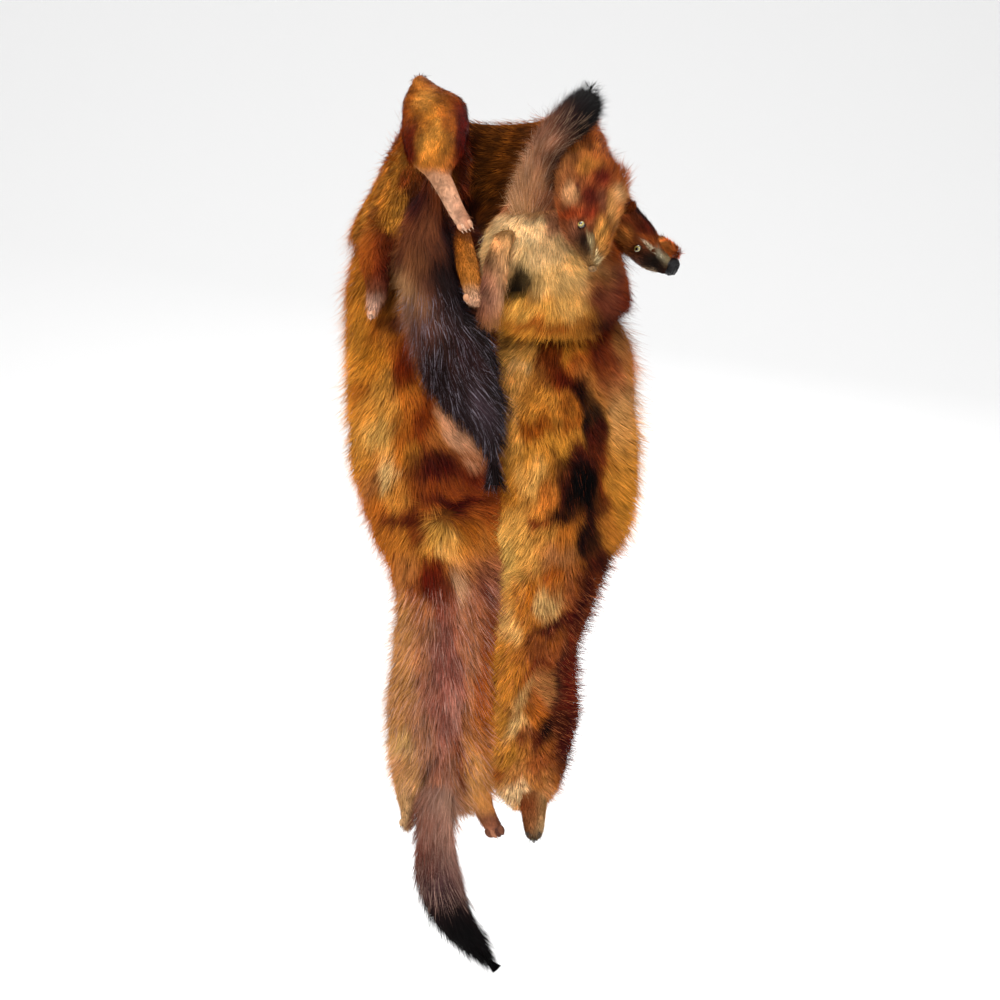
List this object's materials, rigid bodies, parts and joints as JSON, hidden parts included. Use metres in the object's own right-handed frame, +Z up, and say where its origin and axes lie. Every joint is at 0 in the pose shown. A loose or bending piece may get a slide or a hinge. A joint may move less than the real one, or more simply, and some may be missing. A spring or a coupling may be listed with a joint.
{
  "type": "fur scarf of whole skins",
  "caption": "Long fur scarf of whole dressed skins with heads, tails and paws, worn round the neck like a collar and hanging down the front.",
  "frame": {"origin": "the nape rest: the inside of the fur collar at the back of the wearer's neck, on the midline, where the neck and shoulders hold the scarf up", "axes": "+Z up along the hanging skins, -Y the way the wearer faces, +X to the wearer's left, which is the viewer's right from the front"},
  "size_m": [0.2761, 0.2494, 0.7334],
  "materials": {
    "fur_gold": "golden orange fur with a soft sheen",
    "fur_red": "chestnut red fur with a soft sheen",
    "fur_cream": "cream fur with a soft sheen",
    "fur_dark": "brown-black tail fur with a silvery sheen",
    "paw_leather": "worn short-haired leather",
    "eye_glass": "yellow-green glass bead with a dark pupil",
    "nose_black": "black moulded nose and dark claws"
  },
  "bodies": {
    "root": {"left_front_skin": "fur_gold", "right_front_skin": "fur_gold", "neck_skin": "fur_red", "breast_fold": "fur_cream", "left_tail": "fur_dark", "neck_tail": "fur_dark", "collar_tail": "fur_dark", "head_down": "fur_red", "head_side": "fur_red", "neck_leg_inner": "fur_gold", "neck_leg_outer": "fur_gold", "left_fore_leg": "fur_gold", "right_fore_leg": "fur_gold", "left_hind_leg_outer": "paw_leather", "left_hind_leg_inner": "paw_leather", "right_hind_leg": "paw_leather", "head_down_eye": "eye_glass", "head_side_eye": "eye_glass", "head_down_nose": "paw_leather", "head_side_nose": "nose_black", "head_side_ear": "fur_red"}
  },
  "joints": []
}
